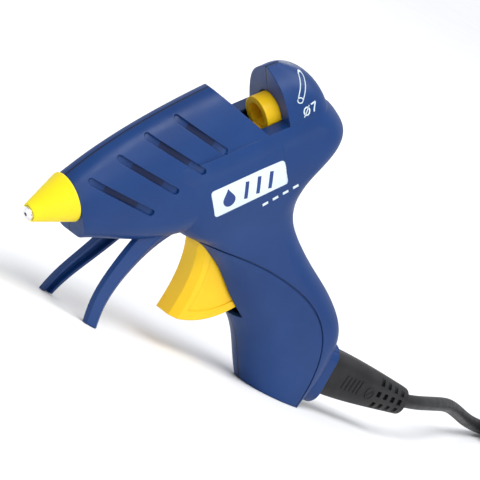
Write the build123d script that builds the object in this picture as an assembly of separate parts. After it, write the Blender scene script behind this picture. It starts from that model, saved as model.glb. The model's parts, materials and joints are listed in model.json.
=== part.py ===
from build123d import *
import math
import os

# Small trigger-fed hot glue gun for 7 mm sticks, standing nose-down on its two legs and its grip.
# Every piece of the gun is drawn in the barrel frame and then stood up by STAND:
#   x runs back from the nozzle tip along the stick, y to the gun's right, z up from the barrel axis.
# The cord, its boot and its plug are drawn where they lie, in the part's own frame (millimetres, +Z up).

# ---- driving dimensions
TILT = 41.5              # nose-down angle of the barrel when the gun stands
TIP_X = -102.3           # nozzle tip, seen from the part's origin
TIP_Z = 24.8             # height of the nozzle tip's centre above the bench
WALL = 2.0               # housing wall
AXIS_Z = 0.6             # stick axis
STICK_BORE = 7.6         # bore for a 7 mm stick
PIVOT = (75.0, -36.0)    # trigger pivot (x, z)
TRIGGER_REACH = 34.5     # pivot to the trigger's lower edge
TRIGGER_HALF = 6.4       # half of the trigger's width
TRIGGER_BEVEL = 2.6      # bevel along both edges of the finger face
DRIVE = (79.4, -9.0)     # drive pin in the carriage (x, z)
PIN_R = 1.5
NOSE_X = 17.5            # front face of the housing
SADDLE_Z = -0.5          # floor of the notch between the barrel and the rear hump
HUMP_X = 104.3           # front wall of the rear hump
SLEEVE_R = 7.0
SCREW_SPOTS = [(70, 13.2), (58, -21.5), (111, 12), (100, -49), (87.5, -98), (113, -95)]
SCREW_DEPTH = 6.4        # how far the housing screws reach into the left half
BOSS_R = 3.0
CORD_R = 2.6
CORD_Z = 15.0            # height of the cord where it leaves the grip
BOOT_X = (51.5, 102.5)   # boot, from its flange to its free end
COLLAR_X = 58.4          # rear face of the collar that the boot comes out of
CLAMP_X = 41.5           # cord clamp inside the grip

STAND = Pos(TIP_X, 0, TIP_Z) * Rot(0, -TILT, 0)
SIDE = Plane(origin=(0, 0, 0), x_dir=(1, 0, 0), z_dir=(0, -1, 0))


def across(x):
    return Plane(origin=(x, 0, 0), x_dir=(0, 1, 0), z_dir=(1, 0, 0))


def box(x0, x1, y0, y1, z0, z1):
    return Pos((x0 + x1) / 2, (y0 + y1) / 2, (z0 + z1) / 2) * Box(x1 - x0, y1 - y0, z1 - z0)


def rod_x(r, x0, x1, y=0, z=AXIS_Z):
    return Pos((x0 + x1) / 2, y, z) * Rot(0, 90, 0) * Cylinder(r, x1 - x0)


def rod_y(r, y0, y1, x, z):
    return Pos(x, (y0 + y1) / 2, z) * Rot(90, 0, 0) * Cylinder(r, y1 - y0)


def prism(points, y0, y1):
    face = SIDE * make_face(Polyline(*points, close=True))
    return Pos(0, y1, 0) * extrude(face, y1 - y0)


def turned(profile):
    """A ring about the stick axis from an (x, radius) outline."""
    face = Plane.XZ * make_face(Polyline(*profile, close=True))
    return Pos(0, 0, AXIS_Z) * revolve(face, Axis.X)


def write(name, shape, place):
    export_step(place * shape, f"parts/{name}.step")


# ---- housing: a barrel, a grip and a rear hump, each a loft through a few sections

# x, half width, lower edge, upper edge, lower corner radius
BARREL = [(NOSE_X, 9.9, -14.2, 9.5, 6), (33, 11.4, -21, 14.4, 7), (52, 12.9, -27.5, 18, 8),
          (76, 13.9, -27.5, 20.3, 8), (100, 14.8, -27.5, 20.7, 8)]
# z, front, rear, half width, depth of the rounded front, depth of the rounded rear
GRIP = [(SADDLE_Z, 46, 124.8, 13.3, 26, 10), (-8, 47, 129.2, 14, 26, 11), (-14, 49, 131, 14.3, 24, 13),
        (-19, 51, 128.8, 14.4, 20, 14), (-23, 53, 123.4, 14.2, 15, 14), (-27, 55.8, 117, 13.9, 10, 14),
        (-31.5, 60, 111.6, 13.6, 7, 13), (-36, 64.5, 108.5, 13.2, 8, 12), (-42, 68, 106.9, 12.8, 9, 11),
        (-50, 71.2, 107.7, 12.5, 11, 11), (-60, 73.7, 110.6, 12.3, 12, 11), (-70, 76.8, 114.4, 12.2, 13, 11),
        (-80, 80.3, 118.6, 12.1, 14, 12), (-90, 81.3, 121.6, 12, 14, 12), (-100, 81, 121.8, 11.8, 14, 12),
        (-106, 81, 118.6, 11.6, 14, 12), (-111, 81, 114, 11.4, 13, 11), (-115.5, 81, 108.6, 11.2, 11, 10),
        (-119, 81, 103.4, 11, 8, 8), (-126, 81, 98.5, 10.8, 6, 6)]
# z, rear, half width, depth of the rounded rear
HUMP = [(-10, 128.5, 13.8, 10), (SADDLE_Z, 124.8, 13.2, 9), (5, 123.2, 12.3, 9), (10, 120.6, 10.7, 9),
        (14, 117, 8, 8), (16.7, 113, 4.4, 5), (18.5, 109.8, 1.4, 3)]
FULL = 0.62              # how square the lofted sections are: 0.55 would be an ellipse


def arch(x, half, low, top, corner):
    k = 0.7071 * corner
    rise = top - low - corner
    right = [Line((0, low), (half - corner, low)),
             ThreePointArc((half - corner, low), (half - corner + k, low + corner - k), (half, low + corner)),
             Bezier((half, low + corner), (half, low + corner + FULL * rise), (FULL * half, top), (0, top))]
    return across(x) * make_face(Wire(right + [Line((0, top), (0, low))]))


def oval(z, front, rear, half, nose, tail):
    right = [Bezier((front, 0), (front, FULL * half), (front + (1 - FULL) * nose, half),
                    (front + nose, half)),
             Line((front + nose, half), (rear - tail, half)),
             Bezier((rear - tail, half), (rear - (1 - FULL) * tail, half), (rear, FULL * half), (rear, 0)),
             Line((rear, 0), (front, 0))]
    return Pos(0, 0, z) * make_face(Wire(right))


def dee(z, front, rear, half, tail):
    right = [Line((front, 0), (front, half)), Line((front, half), (rear - tail, half)),
             Bezier((rear - tail, half), (rear - (1 - FULL) * tail, half), (rear, FULL * half), (rear, 0)),
             Line((rear, 0), (front, 0))]
    return Pos(0, 0, z) * make_face(Wire(right))


def grip(t):
    return loft([oval(z, a + t, b - t, w - t, n, q) for z, a, b, w, n, q in GRIP])


def body(t):
    """The right half of the gun's outer form, drawn t inside its true surface."""
    sections = [arch(x, w - t, low + t, top - t, r - t / 2) for x, w, low, top, r in BARREL]
    behind = prism([(78.8 - t, 22.5 - t), (95.6 - t, -1.2), (130, -1.2), (130, 40), (78.8 - t, 40)], -30, 30)
    barrel = loft(sections) - box(0, NOSE_X + t, -30, 30, -40, 40) - behind
    handle = grip(t)
    shrink = 1 - t / 15
    hump = loft([dee(SADDLE_Z + (z - SADDLE_Z) * shrink, HUMP_X + t, HUMP_X + t + (b - HUMP_X) * (1 - t / 12),
                     w * shrink, q * shrink) for z, b, w, q in HUMP])
    if t:
        lid = box(0, 200, -30, 30, SADDLE_Z - t, 60)
        handle = handle - (lid - box(0, 88, -30, 30, -40, 60) - box(HUMP_X + t, 200, -30, 30, -40, 60))
        hump = hump - box(0, 200, -30, 30, HUMP[-1][0] - t, 60)
    return barrel + handle + hump


def leg():
    """The right leg, splayed, with a ridge outside and a channel inside; rows: x, z, y, width, thickness."""
    rows = [(55, -21.5, 8.2, 9.5, 4.6), (45.8, -24.2, 8.2, 8.4, 4.6), (36.8, -28.5, 8.6, 6.8, 4.8),
            (28.3, -32.9, 9.9, 5.9, 4.6), (20.3, -37.7, 12, 5.4, 4.4), (14.2, -43.2, 14.4, 5, 4.2),
            (9.6, -48.8, 16.5, 4.8, 4)]
    centres = [Vector(x, y, z) for x, z, y, w, d in rows]
    sections = []
    for i, (x, z, y, w, d) in enumerate(rows):
        run = (centres[min(i + 1, len(rows) - 1)] - centres[max(i - 1, 0)]).normalized()
        out = Vector(0, 1, 0)
        wide = out.cross(run).normalized()
        out = run.cross(wide).normalized()
        up = 1 if wide.Z > 0 else -1
        plane = Plane(origin=centres[i], x_dir=wide * up, z_dir=run)
        sign = 1 if plane.y_dir.dot(out) > 0 else -1
        h, s = w / 2, sign * d
        ring = [(-h, -0.45 * s), (-h, 0.2 * s), (-0.12 * w, 0.55 * s), (h, 0.1 * s), (h, -0.45 * s),
                (h - 1.1, -0.45 * s), (h - 1.2, 0), (-h + 1.2, 0), (-h + 1.1, -0.45 * s)]
        sections.append(plane * make_face(Polyline(*ring, close=True)))
    return loft(sections)


def vents():
    """Four slanted slots through the side of the barrel."""
    ends = [((23.4, 8.0), (45.1, -12.6)), ((36.4, 12.0), (55.9, -8.1)), ((49, 15.6), (67.2, -4.1)),
            ((62, 17.6), (77.5, -0.4))]
    slots = []
    for (x0, z0), (x1, z1) in ends:
        turn = math.degrees(math.atan2(z0 - z1, x1 - x0))
        slot = extrude(SIDE * SlotOverall(math.hypot(x1 - x0, z1 - z0), 2.5), -20)
        slots.append(Pos((x0 + x1) / 2, 0, (z0 + z1) / 2) * Rot(0, turn, 0) * slot)
    return slots


def seam():
    """The curved groove that outlines the palm panel on the side of the grip."""
    line = Spline((64, -33.8), (82.9, -49), (100.1, -67.6), (109.2, -83.9), (110.6, -94), (105.7, -108.8),
                  (96.4, -119.5))
    inner = Spline((63.6, -34.2), (82.5, -49.5), (99.6, -68), (108.6, -84.1), (110, -94), (105.2, -108.4),
                   (95.9, -119.2))
    face = make_face(Wire([line, Line(line @ 1, inner @ 1), inner, Line(inner @ 0, line @ 0)]))
    return extrude(SIDE * face, -20)


GROUND = STAND.inverse() * box(-300, 300, -100, 100, -100, 0)
BOOT_BORE = STAND.inverse() * (Pos((BOOT_X[0] + 20), 0, CORD_Z) * Box(40, 14.6, 17.6))
OUTER = body(0) - GROUND
COLLAR = STAND.inverse() * (Pos((BOOT_X[0] + COLLAR_X) / 2 - 0.5, 0, CORD_Z - 1) * Rot(0, 90, 0) * extrude(
    RectangleRounded(23.6, 17.6, 6), (COLLAR_X - BOOT_X[0] + 1) / 2, both=True))
INNER = body(WALL) - STAND.inverse() * box(-300, 300, -100, 100, -100, WALL)
SHELL = OUTER - INNER


def clearances():
    """What is cut away from both housing halves."""
    slot = prism([(57, -23), (92, -23), (92, -75), (70, -75), (57, -46)], -6.9, 6.9)
    run = rod_x(SLEEVE_R + 0.5, 84, 112)
    floor = box(86, 106, -SLEEVE_R - 0.5, SLEEVE_R + 0.5, -8.2, AXIS_Z)
    return [slot, run, floor, rod_x(6.95, 0, 24), rod_x(7.4, 19.6, 26.6), rod_x(5.6, 117, 140), BOOT_BORE]


def flange_pocket():
    place = STAND.inverse()
    return place * box(BOOT_X[0] - 2.1, BOOT_X[0] + 0.1, -8.8, 8.8, CORD_Z - 10.1, CORD_Z + 10.1)


def housing(side):
    """One half of the housing with its leg and bosses, drawn on the right and mirrored for the left."""
    left = side < 0
    shell = SHELL + (leg() - INNER - GROUND) + ((COLLAR & box(0, 200, 0, 30, -200, 60)) - INNER)
    bosses = [rod_y(BOSS_R, 0, 30, x, z) for x, z in SCREW_SPOTS] + [rod_y(3.6, 6.8, 30, *PIVOT)]
    if left:
        for dz in (-6, 6):
            bosses.append(STAND.inverse() * Pos(CLAMP_X, 0, CORD_Z + dz) * rod_y(2.3, 3.4, 30, 0, 0))
    for boss in bosses:
        shell += boss & OUTER
    for cut in clearances() + vents() + [seam() - grip(0.5), flange_pocket()]:
        shell -= cut
    shell -= rod_y(PIN_R + 0.03, 0, 9.3, *PIVOT)
    if left:
        for dz in (-6, 6):
            shell -= STAND.inverse() * Pos(CLAMP_X, 0, CORD_Z + dz) * rod_y(1.1, 0, 8, 0, 0)
    for x, z in SCREW_SPOTS:
        pilot = rod_y(1.1, -1, SCREW_DEPTH + 0.2, x, z)
        shell -= pilot if left else rod_y(1.6, -1, 30, x, z) + rod_y(2.9, 3, 30, x, z)
    return shell.mirror(Plane.XZ) if left else shell


# ---- hot end

def nozzle_cap():
    return turned([(1.5, 2.85), (1.5, 3.5), (16.9, 9.4), (17.3, 9.4), (17.3, 6.8), (19.7, 6.8), (19.7, 7.1),
                   (20.6, 7.1), (20.6, 5.9), (15.6, 5.9), (3.4, 2.9)])


def nozzle_tip():
    return turned([(0, 0.75), (0, 2.0), (0.7, 2.7), (3.2, 2.75), (15.6, 5.7), (20.6, 5.7), (20.6, 3.9),
                   (25.6, 3.9), (25.6, 1.6), (6, 1.6), (2.5, 0.75)])


def melt_chamber():
    tube = turned([(20.8, 3.95), (20.8, 6.6), (56.5, 6.6), (56.5, 5.1), (60, 5.1), (60, 4.25), (29, 4.25),
                   (26.5, 1.8), (25.8, 1.8), (25.8, 3.95)])
    block = box(30, 52, -6, 6, -11.6, -5.0) - box(29, 53, -4.7, 4.7, -10.1, -6.8)
    fins = [box(x, x + 1.2, -7.2, 7.2, -5, AXIS_Z + 2.5) - rod_x(6.5, x - 1, x + 3) for x in (33, 38, 43, 48)]
    return tube + (block - rod_x(6.5, 20, 60)) + fins


def heater():
    return box(32, 50, -4, 4, -9.25, -7.65)


def heater_contacts():
    upper = box(31.5, 50.5, -4, 4, -7.65, -7.3) + box(50.5, 54.5, -3.6, -1.4, -7.65, -7.3)
    lower = box(31.5, 50.5, -4, 4, -9.6, -9.25) + box(50.5, 54.5, 1.4, 3.6, -9.6, -9.25)
    return Compound([upper, lower])


def heater_film():
    return box(31, 51, -4.6, 4.6, -10, -6.9) - box(30, 52, -4.1, 4.1, -9.7, -7.2)


def heater_clip():
    return box(37.5, 45, -6.9, 6.9, -12.3, -5.2) - box(37, 46, -6.1, 6.1, -11.7, -5)


def front_collar():
    return turned([(23, 6.7), (23, 7.3), (26.5, 7.3), (26.5, 6.7)])


def rear_support():
    plate = extrude(across(53.5) * RectangleRounded(17.4, 21, 4), 2.4)
    return Pos(0, 0, -3.0) * plate - rod_x(6.7, 50, 60) - box(52, 58, -4.6, 4.6, -11, -6)


def inlet_seal():
    return turned([(56.6, 5.15), (56.6, 6.6), (62, 6.6), (63, 5.5), (66, 5.3), (66, 4.1), (60.2, 4.1),
                   (60.2, 5.15)])


def seal_clamp():
    return Pos(58.8, 0, AXIS_Z) * Rot(0, 90, 0) * Torus(7.25, 0.6)


# ---- feed

def trigger():
    x, z = PIVOT
    low = math.radians(16)
    front = Spline((66.6, -40.2), (62.3, -50.2), (58.1, -55.9), (51.7, -62.5))
    rear = (x + TRIGGER_REACH * math.sin(low) * 0.6, z - TRIGGER_REACH + 1.4)
    sole = ThreePointArc((51.7, -62.5), (64.5, -68.9), rear)
    outline = Wire([front, sole, Line(rear, (x + 5, z - 6)), Line((x + 5, z - 6), (x + 4, z + 4)),
                    Line((x + 4, z + 4), (x - 4, z + 4)), Line((x - 4, z + 4), (66.6, -40.2))])
    blade = extrude(SIDE * make_face(outline), TRIGGER_HALF, both=True)
    blade = chamfer([e for e in blade.edges() if abs((e @ 0.5).X - (front @ 0.5).X) < 0.5
                     and abs((e @ 0.5).Z - (front @ 0.5).Y) < 0.5], TRIGGER_BEVEL)
    line = Spline((71.5, -41.5), (68.2, -50), (64.2, -56.6), (58.4, -62.6))
    foot = ThreePointArc((58.4, -62.6), (67.5, -66.2), (81, -66))
    side = Wire([line, foot, Line((81, -66), (85, -45)), Line((85, -45), (71.5, -41.5))])
    for y in (-TRIGGER_HALF, TRIGGER_HALF):
        blade -= Pos(0, y, 0) * extrude(SIDE * make_face(side), 0.5, both=True)
    hollow = prism([(63, -58), (78, -42), (78, -64), (64, -64)], -TRIGGER_HALF + 2, TRIGGER_HALF - 2)
    blade -= hollow & box(40, 100, -5, 5, -64, -46)
    arm = [(x - 4.2, z), (x + 4.2, z), (DRIVE[0] + 3.6, DRIVE[1] - 3), (DRIVE[0] + 3.0, DRIVE[1] + 3.2),
           (DRIVE[0] - 3.0, DRIVE[1] + 3.2), (DRIVE[0] - 3.6, DRIVE[1] - 3)]
    blade += [prism(arm, -5.4, -3.05), prism(arm, 3.05, 5.4)]
    blade -= rod_y(6.6, -2.8, 2.8, x, z) + box(x - 5.6, x + 12, -2.8, 2.8, z - 5, z + 12)
    turn = math.degrees(math.atan2(DRIVE[0] - x, DRIVE[1] - z))
    slot = extrude(SIDE * (Rot(0, 0, 90) * SlotOverall(2 * PIN_R + 1.6, 2 * PIN_R + 0.2)), 10, both=True)
    blade -= Pos(DRIVE[0] - 0.02, 0, DRIVE[1] - 0.2) * Rot(0, turn, 0) * slot
    return blade - rod_y(PIN_R + 0.05, -10, 10, x, z)


def return_spring():
    x, z = PIVOT
    wire, turns, pitch, r = 0.45, 4, 1.1, 3.2
    coil = Helix(pitch, turns * pitch, r)
    start = Plane(origin=coil @ 0, z_dir=coil % 0)
    spring = sweep(start * Circle(wire), path=coil)
    spring = Pos(x, turns * pitch / 2, z) * Rot(90, 0, 0) * spring
    rear = rod_x(wire, 0, 7.5, z=0)
    rear = Pos(x, turns * pitch / 2, z - r) * Rot(0, -8, 0) * rear
    front = Pos(x, -turns * pitch / 2, z - r) * Rot(0, 170, 0) * rod_x(wire, 0, 4, z=0)
    return spring + rear + front


def feed_sleeve():
    tube = rod_x(SLEEVE_R, 98.7, 116) - rod_x(4.5, 90, 120)
    tube += box(99, 115.5, -4, 4, -5, -2.7) & rod_x(SLEEVE_R - 0.5, 90, 120)
    rail = box(76.2, 103, -2.7, 2.7, -6.4, -3.6)
    lug = box(76.4, 82.4, -2.7, 2.7, -11.6, -6.2) - rod_y(PIN_R, -4, 4, *DRIVE)
    pocket = box(84, 95.5, -1.6, 1.6, -8, 0)
    return tube + rail + lug - pocket - rod_y(1.0, -5, 5, 90.5, -5)


def grip_jaw():
    hook = prism([(92.8, -5.8), (91.8, -3.7), (88, -3.3), (85.4, -3.0), (86.3, -5.4), (88.6, -6.8),
                  (89.6, -9.4), (91.8, -9.4)], -1.35, 1.35)
    return hook - rod_y(1.04, -3, 3, 90.5, -5)


def guide_bush():
    return turned([(116.8, STICK_BORE / 2), (116.8, 7), (118.4, 7), (118.4, 5.5), (122.8, 5.5),
                   (122.8, STICK_BORE / 2)])


# ---- fasteners

def housing_screws():
    screws = []
    for x, z in SCREW_SPOTS:
        screw = rod_y(1.1, -SCREW_DEPTH, 2.9, x, z) + rod_y(2.6, 3.05, 4.6, x, z) + rod_y(1.1, 2.5, 3.2, x, z)
        screw -= box(x - 1.6, x + 1.6, 3.9, 5, z - 0.3, z + 0.3)
        screw -= box(x - 0.3, x + 0.3, 3.9, 5, z - 1.6, z + 1.6)
        screws.append(screw)
    return Compound(screws)


def cord_clamp():
    bar = box(CLAMP_X - 3, CLAMP_X + 3, CORD_R, CORD_R + 2, CORD_Z - 8.4, CORD_Z + 8.4)
    for dz in (-6, 6):
        bar -= rod_y(1.3, 0, 8, CLAMP_X, CORD_Z + dz)
        bar += box(CLAMP_X - 2.5, CLAMP_X + 2.5, -3.3, CORD_R, CORD_Z + dz - 2.2, CORD_Z + dz + 2.2) - rod_y(
            1.3, -5, 8, CLAMP_X, CORD_Z + dz)
    return bar


def clamp_screws():
    seat = CORD_R + 2.05
    return Compound([rod_y(1.1, -7.5, seat, CLAMP_X, z) + rod_y(2.1, seat, seat + 1.25, CLAMP_X, z)
                     for z in (CORD_Z - 6, CORD_Z + 6)])


# ---- wiring, boot and cord

def lead(side):
    """One insulated lead from the cord up the grip and forward to its heater contact."""
    place = STAND.inverse()
    first = (place * Pos(33.9, side * 1.4, CORD_Z)).position
    z = -7.5 if side < 0 else -9.4
    path = [first, first + Vector(-6, side * 1.2, 5), Vector(96.5, side * 4, -80), Vector(95, side * 6.4, -58),
            Vector(92.5, side * 7.6, -38), Vector(87, side * 7.9, -22), Vector(75, side * 7.6, -16),
            Vector(64.5, side * 7, -13.5), Vector(59.2, side * 3.2, z - 1.2), Vector(54.6, side * 2.5, z)]
    line = FilletPolyline(*path, radius=3)
    return sweep(Plane(origin=line @ 0, z_dir=line % 0) * Circle(0.85), path=line)


def boot():
    x0, x1 = BOOT_X
    base = Plane(origin=(x0, 0, CORD_Z), x_dir=(0, 1, 0), z_dir=(1, 0, 0))
    # distance from the flange, width, height, corner radius
    rows = [(0, 14, 17, 4), (14, 14, 17, 4.6), (32, 12.4, 14.6, 4.8), (x1 - x0, 10, 10.4, 4.2)]
    shape = loft([base.offset(d) * RectangleRounded(w, h, r) for d, w, h, r in rows])
    shape += box(x0 - 2, x0, -8.6, 8.6, CORD_Z - 9.9, CORD_Z + 9.9)
    for i in range(4):
        x = x1 - 3.6 - 3.9 * i
        reach = 3.6 + 0.33 * i
        for side in (-1, 1):
            y0, y1 = sorted((side * (3.9 + 0.1 * i), side * 9))
            for z, tall in ((CORD_Z - reach, 2.6), (CORD_Z, 2.2), (CORD_Z + reach, 2.6)):
                shape -= box(x - 1, x + 1, y0, y1, z - tall / 2, z + tall / 2)
    flare = Pos(x1 - 2.9, 0, CORD_Z) * Rot(0, 90, 0) * Cone(CORD_R, CORD_R + 0.9, 6)
    return shape - rod_x(CORD_R, x0 - 5, x1 + 5, z=CORD_Z) - flare


def cord_tail():
    return rod_x(CORD_R, 34.5, ROUTE[0][0], z=CORD_Z)


COIL_AT = (258, 57)      # centre of the coil of spare cord on the bench
COIL_R = 31              # middle of its turns
COIL_WIDTH = 3           # turns side by side, in two layers
ROUTE = [(92.5, 0, 15), (102.5, 0, 15), (115, 3.8, 15.6), (132.5, 13.5, 16.1), (155, 30, 14.8), (178, 48.2, 11),
         (203, 65, 5.8), (226.5, 79.7, 2.9), (238.3, 87.4, 2.6)]
PLUG_AT = (294, 17, 7)   # where the cord enters the plug
TAIL_ROUTE = [(294.2, 57, 7.8), (295.4, 44, 7.6), (294, 30, 7), (294, 17, 7)]


def cord_path(points, name):
    radii = []
    for a, b, c in zip(points, points[1:], points[2:]):
        u, v = Vector(*b) - Vector(*a), Vector(*c) - Vector(*b)
        turn = math.radians(u.get_angle(v))
        radii.append(0.45 * min(u.length, v.length) / math.tan(turn / 2))
    print(name, "arc radii", [round(r) for r in radii])
    return FilletPolyline(*points, radius=radii)


def cord_run(points, name):
    path = cord_path(points, name)
    tube = sweep(Plane(origin=path @ 0, z_dir=path % 0) * Circle(CORD_R), path=path)
    print(name, "volume over section x length", round(tube.volume / (math.pi * CORD_R ** 2 * path.length), 4))
    return tube


def cord_coil():
    inner, outer = COIL_R - COIL_WIDTH * CORD_R, COIL_R + COIL_WIDTH * CORD_R
    ring = Pos(*COIL_AT, 2 * CORD_R) * (Cylinder(outer, 4 * CORD_R) - Cylinder(inner, 5 * CORD_R))
    return fillet(ring.edges(), 2.2)


def plug_body():
    x, y, z = PLUG_AT
    base = Plane(origin=(x, y, z), x_dir=(1, 0, 0), z_dir=(0, -1, 0))
    # distance from the cord, width, height, corner radius
    rows = [(0, 9.5, 9, 4), (12, 11, 10, 4), (22, 24, 13.6, 4.5), (40, 25.4, 13.8, 4.5)]
    shape = loft([base.offset(d) * RectangleRounded(w, h, r) for d, w, h, r in rows], ruled=True)
    for side in (-1, 1):
        shape -= rod_y(2, y - 41, y - 34, x + 9.25 * side, z)
    return shape


def plug_pins():
    x, y, z = PLUG_AT
    return Compound([rod_y(2, y - 59, y - 34, x + 9.25 * side, z) for side in (-1, 1)])


os.makedirs("parts", exist_ok=True)
GUN = {
    "housing_left": housing(-1), "housing_right": housing(1), "nozzle_cap": nozzle_cap(),
    "nozzle_tip": nozzle_tip(), "melt_chamber": melt_chamber(), "heater_ptc": heater(),
    "heater_contacts": heater_contacts(), "heater_film": heater_film(), "heater_clip": heater_clip(),
    "chamber_front_collar": front_collar(), "chamber_rear_support": rear_support(),
    "inlet_seal": inlet_seal(), "seal_clamp": seal_clamp(), "trigger": trigger(),
    "trigger_pin": rod_y(PIN_R, -9.2, 9.2, *PIVOT), "return_spring": return_spring(),
    "feed_sleeve": feed_sleeve(), "drive_pin": rod_y(PIN_R, -5.6, 5.6, *DRIVE), "grip_jaw": grip_jaw(),
    "jaw_pin": rod_y(1.0, -3.7, 3.7, 90.5, -5), "stick_guide_bush": guide_bush(),
    "housing_screws": housing_screws(), "lead_brown": lead(-1), "lead_blue": lead(1),
}
for name, shape in GUN.items():
    write(name, shape, STAND)
LAID = {
    "cord_clamp": cord_clamp(), "cord_clamp_screws": clamp_screws(), "cord_boot": boot(),
    "cord_tail": cord_tail(), "cord": cord_run(ROUTE, "cord") - cord_coil(), "cord_coil": cord_coil(),
    "plug_lead": cord_run(TAIL_ROUTE, "plug_lead") - cord_coil(), "plug_body": plug_body(),
    "plug_pins": plug_pins(),
}
for name, shape in LAID.items():
    write(name, shape, Pos(0, 0, 0))
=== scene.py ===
import json
import math

import bmesh
import bpy
from mathutils import Matrix, Vector
from mathutils.bvhtree import BVHTree


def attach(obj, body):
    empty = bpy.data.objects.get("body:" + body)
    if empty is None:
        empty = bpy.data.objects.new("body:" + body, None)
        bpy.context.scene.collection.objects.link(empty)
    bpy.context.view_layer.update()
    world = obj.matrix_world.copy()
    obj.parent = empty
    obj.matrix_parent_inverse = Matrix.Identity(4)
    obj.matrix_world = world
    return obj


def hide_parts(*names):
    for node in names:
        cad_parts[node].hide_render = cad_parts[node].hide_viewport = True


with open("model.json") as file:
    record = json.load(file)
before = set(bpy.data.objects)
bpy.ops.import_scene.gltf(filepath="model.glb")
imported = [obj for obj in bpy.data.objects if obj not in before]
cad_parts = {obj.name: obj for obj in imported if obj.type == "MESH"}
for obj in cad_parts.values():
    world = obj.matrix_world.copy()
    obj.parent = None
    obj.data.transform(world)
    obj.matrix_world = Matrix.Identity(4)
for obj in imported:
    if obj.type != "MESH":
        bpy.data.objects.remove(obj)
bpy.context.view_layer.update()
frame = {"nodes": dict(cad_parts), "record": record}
MM = 0.001

# ---- the barrel frame: x back from the nozzle tip, y to the gun's right, z up, in millimetres
RECORD = frame["record"]
INLET = next(m for m in RECORD["mounts"] if m["name"] == "stick_inlet")
INLET_X, INLET_Z = 119.8, 0.6    # where the stick inlet's mount lies in that frame
BACK = Vector(INLET["axis"]).normalized()
RIGHT = Vector((0, 1, 0))
UP = BACK.cross(RIGHT)
UP = UP if UP.z > 0 else -UP


def at(x, y, z):
    """A point of the barrel frame, in the part's frame in metres."""
    return Vector(INLET["pos_m"]) + (BACK * (x - INLET_X) + RIGHT * y + UP * (z - INLET_Z)) * MM


# ---- camera

AZIMUTH, ELEVATION, ROLL = math.radians(-43.5), math.radians(7.05), math.radians(29.5)
SENSOR, LENS = 36.0, 1000.0
VIEW_WIDTH = 0.17143             # what the picture's width covers at the gun, in metres
AIM = (0.0757, -0.0086, -0.054)  # from the nozzle tip to the picture's centre: right, up, towards the camera


def make_camera():
    toward = Vector((math.sin(AZIMUTH) * math.cos(ELEVATION), -math.cos(AZIMUTH) * math.cos(ELEVATION),
                     math.sin(ELEVATION)))
    level = Vector((math.cos(AZIMUTH), math.sin(AZIMUTH), 0))
    upright = toward.cross(level)
    right = level * math.cos(ROLL) + upright * math.sin(ROLL)
    up = toward.cross(right)
    target = at(0, 0, 0) + right * AIM[0] + up * AIM[1] + toward * AIM[2]
    distance = VIEW_WIDTH * LENS / SENSOR
    camera = bpy.data.objects.new("camera", bpy.data.cameras.new("camera"))
    camera.data.lens = LENS
    camera.data.sensor_width = SENSOR
    camera.data.clip_start, camera.data.clip_end = 0.1, 60
    camera.matrix_world = Matrix.Translation(target + toward * distance) @ Matrix(
        (right, up, toward)).transposed().to_4x4()
    bpy.context.scene.collection.objects.link(camera)
    bpy.context.scene.camera = camera
    bpy.context.scene.view_settings.view_transform = "Standard"


make_camera()


# ---- materials

STREAK_TURN = (0, -0.72, 0)      # turns a texture so that its streaks run along the barrel
LATHE_TURN = (0, -0.7243, 0)     # the same for machining lines, square to the barrel's axis
SEAM_HALF = (0.0002, 0.00048)    # the parting line is dark out to the first, and gone at the second


def new_material(name):
    material = bpy.data.materials.new(name)
    material.use_nodes = True
    tree = material.node_tree
    return material, tree, tree.nodes["Principled BSDF"]


def node(tree, kind, **values):
    """A new shader node; each value sets the input of that name, or else the node's own setting."""
    made = tree.nodes.new(kind)
    for key, value in values.items():
        if key in made.inputs:
            made.inputs[key].default_value = value
        else:
            setattr(made, key, value)
    return made


def coordinates(tree, scale=(1, 1, 1), turn=(0, 0, 0)):
    """Positions in the part's frame, scaled and turned."""
    source = node(tree, "ShaderNodeTexCoord")
    mapping = node(tree, "ShaderNodeMapping")
    mapping.inputs["Scale"].default_value = scale
    mapping.inputs["Rotation"].default_value = turn
    tree.links.new(source.outputs["Object"], mapping.inputs["Vector"])
    return mapping.outputs["Vector"]


def noise(tree, vector, scale, detail=3.0, roughness=0.5):
    made = node(tree, "ShaderNodeTexNoise", Scale=scale, Detail=detail, Roughness=roughness)
    tree.links.new(vector, made.inputs["Vector"])
    return made.outputs["Fac"]


def spread(tree, value, low, high, start=0.3, end=0.7):
    """Stretches a texture value from start..end to low..high."""
    made = node(tree, "ShaderNodeMapRange")
    for key, number in (("From Min", start), ("From Max", end), ("To Min", low), ("To Max", high)):
        made.inputs[key].default_value = number
    tree.links.new(value, made.inputs["Value"])
    return made.outputs["Result"]


def combine(tree, operation, a, b):
    """A maths node on two inputs, each a number or a node's output."""
    made = node(tree, "ShaderNodeMath", operation=operation)
    for socket, value in zip(made.inputs, (a, b)):
        if isinstance(value, (int, float)):
            socket.default_value = value
        else:
            tree.links.new(value, socket)
    return made.outputs["Value"]


def blend_colours(tree, factor, first, second):
    """Mixes two colours, each a tuple or a node's output."""
    made = node(tree, "ShaderNodeMix", data_type="RGBA")
    for socket, value in ((made.inputs[0], factor), (made.inputs[6], first), (made.inputs[7], second)):
        if isinstance(value, tuple):
            socket.default_value = (*value, 1)
        else:
            tree.links.new(value, socket)
    return made.outputs[2]


def bump(tree, shader, height, strength, distance, edge=0.0):
    """Relief on the surface, with its sharp edges rounded to the radius edge."""
    made = node(tree, "ShaderNodeBump", Strength=strength, Distance=distance)
    tree.links.new(height, made.inputs["Height"])
    tree.links.new(made.outputs["Normal"], shader.inputs["Normal"])
    if edge:
        soft = node(tree, "ShaderNodeBevel", samples=6, Radius=edge)
        tree.links.new(soft.outputs["Normal"], made.inputs["Normal"])


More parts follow.
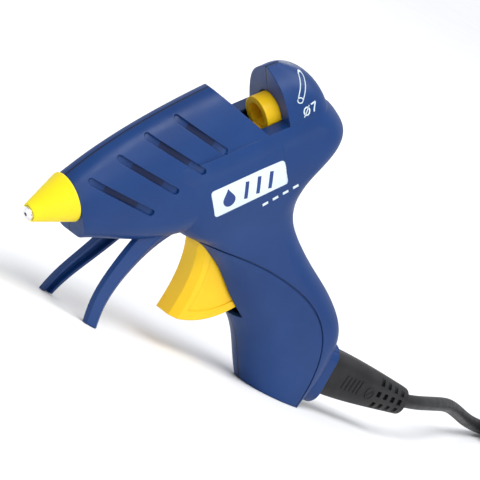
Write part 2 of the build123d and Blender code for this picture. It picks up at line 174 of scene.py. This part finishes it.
def plastic(name, colour, deep, rough=(0.3, 0.42), grain=2600, relief=0.12, through=0.0, seam=None):
    """Moulded plastic: cloudy colour, fine grain, faint rubbed streaks, and a parting line at y = 0."""
    material, tree, shader = new_material(name)
    space = coordinates(tree)
    cloud = spread(tree, noise(tree, space, 38, 4), 0, 1)
    fine = noise(tree, space, grain, 2, 0.6)
    streaks = noise(tree, coordinates(tree, (14, 60, 160), STREAK_TURN), 6, 5, 0.62)
    rubbed = spread(tree, streaks, 0, 1, 0.58, 0.82)
    base = blend_colours(tree, cloud, deep, colour)
    lighter = tuple(min(1, c * 1.25 + 0.02) for c in colour)
    base = blend_colours(tree, combine(tree, "MULTIPLY", rubbed, 0.16), base, lighter)
    height = fine
    if seam:
        parts = node(tree, "ShaderNodeSeparateXYZ")
        tree.links.new(space, parts.inputs[0])
        off = combine(tree, "ABSOLUTE", parts.outputs["Y"], 0)
        line = spread(tree, off, 1, 0, *SEAM_HALF)
        base = blend_colours(tree, line, base, seam)
        height = combine(tree, "SUBTRACT", fine, combine(tree, "MULTIPLY", line, 3.0))
    tree.links.new(base, shader.inputs["Base Color"])
    roughness = combine(tree, "ADD", spread(tree, noise(tree, space, 120, 4), *rough),
                        combine(tree, "MULTIPLY", rubbed, 0.08))
    tree.links.new(roughness, shader.inputs["Roughness"])
    shader.inputs["IOR"].default_value = 1.49
    shader.inputs["Specular IOR Level"].default_value = 0.32
    if through:
        shader.inputs["Subsurface Weight"].default_value = through
        shader.inputs["Subsurface Radius"].default_value = (1.0, 0.7, 0.3)
        shader.inputs["Subsurface Scale"].default_value = 0.002
    bump(tree, shader, height, relief, 0.00008, 0.0005)
    return material


def metal(name, colour, rough=(0.2, 0.34), brushed=(400, 30, 30), relief=0.1, stain=0.25):
    """Bare metal with fine machining lines, dull patches and a little tarnish."""
    material, tree, shader = new_material(name)
    space = coordinates(tree)
    lines = noise(tree, coordinates(tree, brushed, LATHE_TURN), 12, 3, 0.6)
    patch = spread(tree, noise(tree, space, 150, 5, 0.6), 0, 1)
    dark = tuple(c * 0.62 for c in colour)
    factor = combine(tree, "MULTIPLY", patch, stain)
    tree.links.new(blend_colours(tree, factor, colour, dark), shader.inputs["Base Color"])
    shader.inputs["Metallic"].default_value = 1.0
    wear = combine(tree, "ADD", spread(tree, lines, *rough), combine(tree, "MULTIPLY", patch, 0.1))
    tree.links.new(wear, shader.inputs["Roughness"])
    bump(tree, shader, lines, relief, 0.00005)
    return material


def rubber(name, colour, rough=(0.42, 0.56), grain=1500, relief=0.2):
    """Matt moulded PVC: dusty colour, orange-peel grain and long faint drag lines."""
    material, tree, shader = new_material(name)
    space = coordinates(tree)
    dust = spread(tree, noise(tree, space, 70, 5, 0.6), 0, 1, 0.35, 0.75)
    pale = tuple(c * 1.7 + 0.006 for c in colour)
    tree.links.new(blend_colours(tree, dust, colour, pale), shader.inputs["Base Color"])
    tree.links.new(spread(tree, noise(tree, space, 240, 3), *rough), shader.inputs["Roughness"])
    shader.inputs["IOR"].default_value = 1.52
    shader.inputs["Specular IOR Level"].default_value = 0.3
    height = combine(tree, "ADD", noise(tree, space, grain, 3, 0.6),
                     combine(tree, "MULTIPLY", noise(tree, coordinates(tree, (20, 300, 300)), 5), 0.6))
    bump(tree, shader, height, relief, 0.00007, 0.0003)
    return material


BLUE, BLUE_DEEP, SEAM = (0.006, 0.042, 0.17), (0.004, 0.032, 0.14), (0.001, 0.003, 0.015)
MATERIALS = {
    "blue_shell": plastic("blue_shell", BLUE, BLUE_DEEP, (0.34, 0.46), 2200, 0.16, seam=SEAM),
    "nozzle_yellow": plastic("nozzle_yellow", (0.96, 0.8, 0.012), (0.92, 0.72, 0.008), (0.3, 0.4), 3000, 0.06,
                             through=0.12),
    "trigger_yellow": plastic("trigger_yellow", (0.98, 0.63, 0.01), (0.95, 0.55, 0.008), (0.27, 0.37), 3000,
                              0.06, through=0.14),
    "tip_metal": metal("tip_metal", (0.86, 0.86, 0.87), (0.14, 0.26), (700, 20, 20), 0.15, 0.15),
    "chamber_alu": metal("chamber_alu", (0.62, 0.62, 0.63), (0.4, 0.55), (60, 60, 60), 0.35, 0.4),
    "heater_ceramic": rubber("heater_ceramic", (0.42, 0.4, 0.37), (0.5, 0.7), 1200, 0.15),
    "contact_brass": metal("contact_brass", (0.78, 0.55, 0.24), (0.25, 0.38)),
    "insulation_film": plastic("insulation_film", (0.55, 0.24, 0.03), (0.45, 0.18, 0.02), (0.2, 0.3), 900,
                               0.05),
    "spring_steel": metal("spring_steel", (0.56, 0.56, 0.57), (0.2, 0.32), (300, 60, 60)),
    "phenolic": rubber("phenolic", (0.16, 0.07, 0.035), (0.4, 0.55), 1800, 0.25),
    "seal_red": rubber("seal_red", (0.42, 0.03, 0.018), (0.45, 0.6), 1400, 0.15),
    "pin_steel": metal("pin_steel", (0.66, 0.66, 0.67), (0.18, 0.28), (40, 500, 40)),
    "screw_steel": metal("screw_steel", (0.5, 0.5, 0.51), (0.24, 0.36), (200, 60, 200), 0.12, 0.35),
    "wire_brown": plastic("wire_brown", (0.14, 0.055, 0.022), (0.1, 0.04, 0.016), (0.3, 0.42), 2500, 0.08),
    "wire_blue": plastic("wire_blue", (0.03, 0.13, 0.45), (0.025, 0.1, 0.38), (0.3, 0.42), 2500, 0.08),
    "clamp_plastic": plastic("clamp_plastic", (0.6, 0.6, 0.56), (0.52, 0.52, 0.48), (0.38, 0.5), 2000, 0.1),
    "cord_black": rubber("cord_black", (0.009, 0.009, 0.0095), (0.46, 0.6), 1700, 0.12),
    "plug_black": rubber("plug_black", (0.014, 0.014, 0.016), (0.34, 0.48), 1500, 0.2),
    "plug_pin_metal": metal("plug_pin_metal", (0.8, 0.79, 0.76), (0.15, 0.26), (40, 500, 40), 0.06, 0.2),
}

for part in RECORD["subparts"]:
    cad = frame["nodes"][part["node"]]
    cad.data.materials.clear()
    cad.data.materials.append(MATERIALS[part["material_slot"]])


# ---- pieces

def add_piece(name, data, material):
    """A piece that rides on the gun, with its material."""
    piece = bpy.data.objects.new(name, data)
    bpy.context.scene.collection.objects.link(piece)
    piece.data.materials.append(material)
    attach(piece, "gun")
    return piece


def add_mesh(name, mesh, material):
    bmesh.ops.recalc_face_normals(mesh, faces=mesh.faces)
    data = bpy.data.meshes.new(name)
    mesh.to_mesh(data)
    mesh.free()
    return add_piece(name, data, material)


def thicken(piece, name, thickness):
    """Gives a sheet its thickness in millimetres, half to each side."""
    solid = piece.modifiers.new(name, "SOLIDIFY")
    solid.thickness = thickness * MM
    solid.offset = 0


# ---- the cord: the route on the bench, then its coil, then the lead into the plug, in millimetres

ROUTE = [(92.5, 0, 15), (102.5, 0, 15), (115, 3.8, 15.6), (132.5, 13.5, 16.1), (155, 30, 14.8),
         (178, 48.2, 11), (203, 65, 5.8), (226.5, 79.7, 2.9), (238.3, 87.4, 2.6)]
TAIL_ROUTE = [(294.2, 57, 7.8), (295.4, 44, 7.6), (294, 30, 7), (294, 17, 7)]
CORD_D = 5.2
COIL_AT = (258, 57)
COIL_R = 31                # middle of the turns
COIL_TURNS = 5 + 123 / 360
COIL_START = math.radians(123)
PER_TURN = 20              # route points in each turn
INWARD_AT = ((0.72, 1.0), (1.72, 2.0))     # turns between which the coil steps in by one cord
CLIMB_AT = (2.4, 2.7)
OUTWARD_AT = ((3.47, 3.75), (4.47, 4.75))


def step(value, start, end):
    """Rises smoothly from 0 at start to 1 at end."""
    t = min(1, max(0, (value - start) / (end - start)))
    return t * t * (3 - 2 * t)


def coil_points():
    """Two and a half turns inwards on the bench, a climb, and nearly three turns outwards on top of them."""
    points = []
    count = round(COIL_TURNS * PER_TURN)
    for i in range(1, count):
        turned = i * COIL_TURNS / count
        inward = sum(step(turned, *turns) for turns in INWARD_AT)
        outward = sum(step(turned, *turns) for turns in OUTWARD_AT)
        radius = (COIL_R + CORD_D * (1 - inward + outward)) / math.cos(math.pi / PER_TURN)
        height = CORD_D * (0.5 + step(turned, *CLIMB_AT))
        angle = COIL_START - turned * math.tau
        x, y = COIL_AT[0] + radius * math.cos(angle), COIL_AT[1] + radius * math.sin(angle)
        points.append((x, y, height))
    return points


def make_cord():
    points = ROUTE + coil_points() + TAIL_ROUTE
    curve = bpy.data.curves.new("mains_cord", "CURVE")
    curve.dimensions = "3D"
    curve.bevel_depth = CORD_D / 2 * MM
    curve.bevel_resolution = 7
    curve.resolution_u = 8
    curve.use_fill_caps = True
    spline = curve.splines.new("NURBS")
    spline.points.add(len(points) - 1)
    for control, (x, y, z) in zip(spline.points, points):
        control.co = (x * MM, y * MM, z * MM, 1)
    spline.order_u = 3
    spline.use_endpoint_u = True
    cord = add_piece("mains_cord", curve, MATERIALS["cord_black"])
    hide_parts("cord", "cord_coil", "plug_lead")


make_cord()


# ---- printed marks on the left side, and the raised marks on the boot

PRINT = plastic("print_white", (0.72, 0.82, 0.88), (0.66, 0.77, 0.84), (0.3, 0.4), 2200, 0.1)
PRINT_BLUE = plastic("print_blue", (0.02, 0.055, 0.22), (0.016, 0.045, 0.19), (0.32, 0.42), 2200, 0.1)
BOOT_DEEP = rubber("boot_marks", (0.006, 0.006, 0.007), (0.4, 0.55), 1700, 0.12)
CAST_FROM = -60            # rays start this far out on the left, in millimetres


def surface(name, place):
    """Gives the point of a node's left side behind (x, z) of place's frame, lift millimetres off it."""
    tree = BVHTree.FromObject(frame["nodes"][name], bpy.context.evaluated_depsgraph_get())

    def project(x, z, lift):
        hit, normal, _, _ = tree.ray_cast(place(x, CAST_FROM, z), RIGHT)
        if hit is None:
            hit, normal, _, _ = tree.find_nearest(place(x, 0, z))
        outward = normal if normal.y < 0 else -normal
        return hit + outward * lift * MM
    return project


onto_shell = surface("housing_left", at)
onto_boot = surface("cord_boot", lambda x, y, z: Vector((x, y, z)) * MM)


def resampled(points, gap, closed):
    """The same line with a point at least every gap millimetres."""
    path = []
    for a, b in zip(points, points[1:] + (points[:1] if closed else [])):
        parts = max(1, math.ceil(math.dist(a, b) / gap))
        path += [(a[0] + (b[0] - a[0]) * k / parts, a[1] + (b[1] - a[1]) * k / parts) for k in range(parts)]
    return path if closed else path + [points[-1]]


def stroke(mesh, points, width, closed=False):
    """A band of the given width along a line of (x, z) points."""
    points = resampled(points, 0.5, closed)
    count = len(points)
    rows = []
    for i, (x, z) in enumerate(points):
        before = points[i - 1] if i or closed else points[0]
        after = points[(i + 1) % count] if i + 1 < count or closed else points[-1]
        dx, dz = after[0] - before[0], after[1] - before[1]
        size = math.hypot(dx, dz) or 1
        nx, nz = -dz / size * width / 2, dx / size * width / 2
        rows.append([mesh.verts.new((x + s * nx, 0, z + s * nz)) for s in (-1, 0, 1)])
    for i in range(count if closed else count - 1):
        a, b = rows[i], rows[(i + 1) % count]
        for k in (0, 1):
            mesh.faces.new((a[k], b[k], b[k + 1], a[k + 1]))


def fill(mesh, outline, cell=1.0):
    """A filled outline cut into small triangles, so that it can follow the curved side."""
    mesh.faces.new([mesh.verts.new((x, 0, z)) for x, z in outline])
    bmesh.ops.triangulate(mesh, faces=mesh.faces[:])
    for _ in range(7):
        long_edges = [edge for edge in mesh.edges if edge.calc_length() > cell]
        if not long_edges:
            break
        bmesh.ops.subdivide_edges(mesh, edges=long_edges, cuts=1)
        bmesh.ops.triangulate(mesh, faces=[face for face in mesh.faces if len(face.verts) > 3])


def printed(name, material, draw, project, lift=0.04, depth=0.07):
    """A thin layer that draw() outlines in the plane of the side, laid onto the surface."""
    mesh = bmesh.new()
    draw(mesh)
    for vertex in mesh.verts:
        vertex.co = project(vertex.co.x, vertex.co.z, lift)
    thicken(add_mesh(name, mesh, material), "film", depth)


def rounded(corners, radius, steps=5):
    """An outline through the corners, each rounded with a small curve."""
    outline = []
    for i, corner in enumerate(corners):
        here = Vector(corner)
        back = (Vector(corners[i - 1]) - here).normalized() * radius
        ahead = (Vector(corners[(i + 1) % len(corners)]) - here).normalized() * radius
        for k in range(steps + 1):
            t = k / steps
            outline.append(tuple(here + back * (1 - t) ** 2 + ahead * t ** 2))
    return outline


def ring(x, z, rx, rz, lean=0.0, count=28):
    """An ellipse of (x, z) points, its long axis leaning back by lean."""
    points = []
    for i in range(count):
        a = i * math.tau / count
        u, v = rx * math.cos(a), rz * math.sin(a)
        points.append((x + u * math.cos(lean) + v * math.sin(lean),
                       z - u * math.sin(lean) + v * math.cos(lean)))
    return points


def droplet(x, z, size):
    """A drop with its point upwards."""
    outline = []
    for i in range(32):
        a = i * math.tau / 32
        pull = max(0, math.cos(a)) ** 3
        outline.append((x + size * math.sin(a) * (1 - 0.75 * pull), z + size * (math.cos(a) + 0.75 * pull)))
    return outline


PANEL = [(68.3, -12.5), (68.9, -23.6), (100.6, -22.2), (99.6, -11.7)]


def draw_panel(mesh):
    fill(mesh, rounded(PANEL, 1.6))


def draw_panel_marks(mesh):
    fill(mesh, droplet(75.4, -18.6, 2.6), 0.8)
    for i in range(3):
        x = 82.2 + 5.2 * i
        stroke(mesh, [(x + 0.25 * k, -20.9 + 1.1 * k) for k in range(7)], 1.5)


def draw_small_marks(mesh):
    for i in range(4):
        x, z = 89.2 + 4.4 * i, -27.0 + 0.58 * i
        stroke(mesh, [(x + 0.8 * k, z + 0.1 * k) for k in range(4)], 1.1)


def draw_stick(mesh):
    """The pictogram of a glue stick: a leaning round-ended rod with its round face towards the viewer."""
    top, low, half = Vector((114.6, 13.6)), Vector((110.3, 7.4)), 1.05
    along = (top - low).normalized()
    side = Vector((along.y, -along.x)) * half
    rod = [tuple(low - side), tuple(low - side + along * 3.3), tuple(top - side)]
    for i in range(1, 8):
        a = i * math.pi / 8
        rod.append(tuple(top - side * math.cos(a) + along * half * math.sin(a)))
    rod += [tuple(top + side), tuple(low + side + along * 3.3), tuple(low + side)]
    stroke(mesh, rod, 0.42)
    stroke(mesh, ring(low.x, low.y, 1.1, 0.95, 0.4), 0.42, closed=True)


def draw_size(mesh):
    """The diameter sign and the 7 for the stick's size."""
    stroke(mesh, ring(111.9, 2.7, 1.15, 1.45, 0.15), 0.6, closed=True)
    stroke(mesh, [(110.5, 0.8), (111.9, 2.7), (113.3, 4.6)], 0.45)
    stroke(mesh, [(114.0, 4.6), (115.1, 4.75), (116.2, 4.9)], 0.6)
    stroke(mesh, [(116.1, 4.9), (115.5, 3.7), (115.05, 2.7), (114.8, 1.5)], 0.6)


def draw_boot_bars(mesh):
    for i in range(5):
        x = 68.2 + 2.15 * i
        stroke(mesh, [(x, 12.0), (x + 0.3, 14.6), (x + 0.6, 17.2)], 1.0 if i < 4 else 1.5)


def draw_boot_ring(mesh):
    stroke(mesh, ring(82.6, 13.9, 1.9, 2.2), 0.7, closed=True)
    stroke(mesh, [(81.6, 13.1), (83.6, 14.7)], 0.6)


def draw_boot_notch(mesh):
    stroke(mesh, [(60.3, 11.2), (60.5, 13.4)], 1.5)


printed("side_panel_print", PRINT, draw_panel, onto_shell)
printed("side_panel_marks", PRINT_BLUE, draw_panel_marks, onto_shell, lift=0.1)
printed("side_dash_print", PRINT, draw_small_marks, onto_shell)
printed("stick_pictogram_print", PRINT, draw_stick, onto_shell)
printed("stick_size_print", PRINT, draw_size, onto_shell)
for name, draw in (("boot_bars", draw_boot_bars), ("boot_ring", draw_boot_ring),
                   ("boot_notch", draw_boot_notch)):
    printed(name, BOOT_DEEP, draw, onto_boot, lift=0.05, depth=0.3)


# ---- the closed backs of the vent slots, with painted shade on their middles

VENTS = [((23.4, 8.0), (45.1, -12.6)), ((36.4, 12.0), (55.9, -8.1)), ((49, 15.6), (67.2, -4.1)),
         ((62, 17.6), (77.5, -0.4))]
VENT_BACK = 1.75          # how deep the backs lie under the surface
VENT_REACH = 2.2          # how far they reach past the slot's middle line
VENT_OVER = 0.6           # how far they run past the slot's ends
VENT_BOW = 0.0001         # how much their middle bows out, in metres
VENT_ROWS, VENT_CELLS = 16, 6
SHADED_ROWS = (0.2, 0.7)    # the stretch of each back that is painted darker, as painted shade inside the slot
# a darker copy of the shell blue, painted on the middle of each back as painted shade
VENT_SHADE_BLUE = plastic("vent_painted_shade", (0.005, 0.02, 0.09), (0.003, 0.012, 0.06), (0.4, 0.5), 2200, 0.12)


def vent_back(name, ends, side):
    """A thin plate behind one slot, shallow at its ends and deep in its middle, where it is painted darker as
    painted shade.
    """
    (x0, z0), (x1, z1) = ends
    size = math.hypot(x1 - x0, z1 - z0)
    ux, uz = (x1 - x0) / size, (z1 - z0) / size
    mesh = bmesh.new()
    rows = []
    for i in range(VENT_ROWS + 1):
        t = i / VENT_ROWS
        reach = VENT_REACH * min(1, math.sin(math.pi * (0.08 + 0.84 * t)) * 2.2)
        depth = VENT_BACK * (0.45 + 0.75 * math.sin(math.pi * t))
        run = (size + 2 * VENT_OVER) * t - VENT_OVER
        x, z = x0 + ux * run, z0 + uz * run
        low, high = [onto_shell(x + s * uz * VENT_REACH, z - s * ux * VENT_REACH, 0) for s in (-1, 1)]
        row = []
        for k in range(VENT_CELLS + 1):
            s = (2 * k / VENT_CELLS - 1) * reach / VENT_REACH
            point = low.lerp(high, (s + 1) / 2)
            y = (-point.y + (1 - s * s) * VENT_BOW - depth * MM) * side
            row.append(mesh.verts.new((point.x, y, point.z)))
        rows.append(row)
    for i, (a, b) in enumerate(zip(rows, rows[1:])):
        for k in range(VENT_CELLS):
            face = mesh.faces.new((a[k], b[k], b[k + 1], a[k + 1]))
            # the middle rows get the darker blue as painted shade
            face.material_index = int(SHADED_ROWS[0] <= i / VENT_ROWS < SHADED_ROWS[1])
            face.smooth = True
    piece = add_mesh(name, mesh, MATERIALS["blue_shell"])
    piece.data.materials.append(VENT_SHADE_BLUE)
    thicken(piece, "plate", 0.3)


for side, label in ((-1, "left"), (1, "right")):
    for number, ends in enumerate(VENTS, 1):
        vent_back(f"vent_back_{label}_{number}", ends, side)


# ---- floor and light

FLOOR_HALF, FLOOR_DROP = 8.0, 0.0002     # half its side, and how far it lies below the gun, in metres


def make_floor():
    mesh = bpy.data.meshes.new("floor")
    corners = [(x * FLOOR_HALF, y * FLOOR_HALF, 0) for x, y in ((-1, -1), (1, -1), (1, 1), (-1, 1))]
    mesh.from_pydata(corners, [], [(0, 1, 2, 3)])
    floor = bpy.data.objects.new("floor", mesh)
    floor.location.z = -FLOOR_DROP
    bpy.context.scene.collection.objects.link(floor)
    material, tree, shader = new_material("floor_pale")
    speck = spread(tree, noise(tree, coordinates(tree), 60, 4), 0, 1)
    colour = blend_colours(tree, speck, (0.86, 0.86, 0.87), (0.88, 0.88, 0.885))
    tree.links.new(colour, shader.inputs["Base Color"])
    shader.inputs["Roughness"].default_value = 0.9
    shader.inputs["Specular IOR Level"].default_value = 0.1
    mesh.materials.append(material)


def area_light(name, place, aim, size, power):
    light = bpy.data.lights.new(name, "AREA")
    light.shape = "DISK"
    light.size = size
    light.energy = power
    lamp = bpy.data.objects.new(name, light)
    lamp.location = place
    lamp.rotation_euler = (Vector(aim) - Vector(place)).to_track_quat("-Z", "Y").to_euler()
    bpy.context.scene.collection.objects.link(lamp)


def sun_light(name, toward, power, spread_deg):
    light = bpy.data.lights.new(name, "SUN")
    light.energy = power
    light.angle = math.radians(spread_deg)
    lamp = bpy.data.objects.new(name, light)
    lamp.rotation_euler = (-Vector(toward)).to_track_quat("-Z", "Y").to_euler()
    bpy.context.scene.collection.objects.link(lamp)


def make_lights():
    world = bpy.data.worlds.new("studio")
    bpy.context.scene.world = world
    world.use_nodes = True
    background = world.node_tree.nodes["Background"]
    background.inputs["Color"].default_value = (0.93, 0.95, 1.0, 1)
    background.inputs["Strength"].default_value = 0.62
    middle = (0, 0, 0.06)
    area_light("key", (-0.55, -0.75, 1.0), middle, 0.55, 5.0)
    sun_light("sky", (0.2, -0.35, 1.0), 1.7, 50)
    area_light("fill", (-0.2, -1.2, 0.4), middle, 0.7, 2.2)
    area_light("rim", (0.5, 0.9, 0.7), middle, 0.5, 3)


make_floor()
make_lights()
